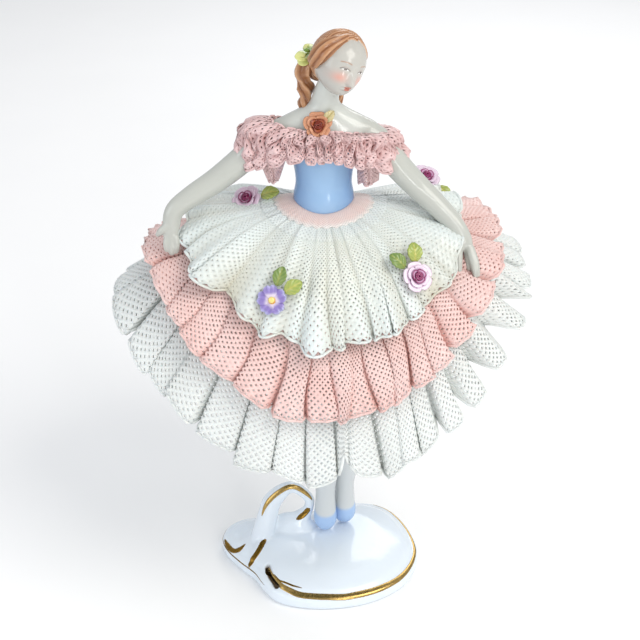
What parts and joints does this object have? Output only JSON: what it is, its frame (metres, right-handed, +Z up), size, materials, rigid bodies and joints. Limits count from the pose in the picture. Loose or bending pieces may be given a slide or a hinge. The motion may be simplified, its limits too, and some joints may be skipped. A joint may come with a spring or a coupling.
{
  "type": "porcelain lace dancer figurine",
  "caption": "Standing porcelain dancer on a scrolled base, holding out a tiered porcelain-lace skirt with applied flowers.",
  "frame": {"origin": "middle of the base's flat underside", "axes": "+Z up, -Y towards the side the figure faces, +X to the figure's left hand, which is the viewer's right"},
  "size_m": [0.1128, 0.0893, 0.1648],
  "materials": {
    "white_glaze": "clear gloss glaze over white porcelain, with painted enamel colours and gilt lines",
    "white_lace": "satin white porcelain lace, open diamond net",
    "pink_lace": "satin salmon-pink porcelain lace, open diamond net",
    "lilac_glaze": "gloss lilac enamel, darker middle",
    "violet_glaze": "gloss violet enamel, yellow middle",
    "russet_glaze": "gloss russet enamel",
    "leaf_glaze": "gloss leaf-green enamel",
    "ribbon_glaze": "gloss pale yellow enamel"
  },
  "bodies": {
    "root": {"base": "white_glaze", "dancer": "white_glaze", "underskirt": "white_lace", "pink_flounce": "pink_lace", "overskirt": "white_lace", "waist_band": "pink_lace", "shoulder_ruffle": "pink_lace", "sleeve_frill_left": "pink_lace", "sleeve_frill_right": "pink_lace", "rose_left": "lilac_glaze", "rose_left_leaf_1": "leaf_glaze", "rose_right": "lilac_glaze", "rose_right_leaf_1": "leaf_glaze", "rose_right_leaf_2": "leaf_glaze", "rose_back": "lilac_glaze", "rose_back_leaf_1": "leaf_glaze", "violet": "violet_glaze", "violet_leaf_1": "leaf_glaze", "violet_leaf_2": "leaf_glaze", "bodice_rose": "russet_glaze", "hair_ribbon": "ribbon_glaze"}
  },
  "joints": []
}
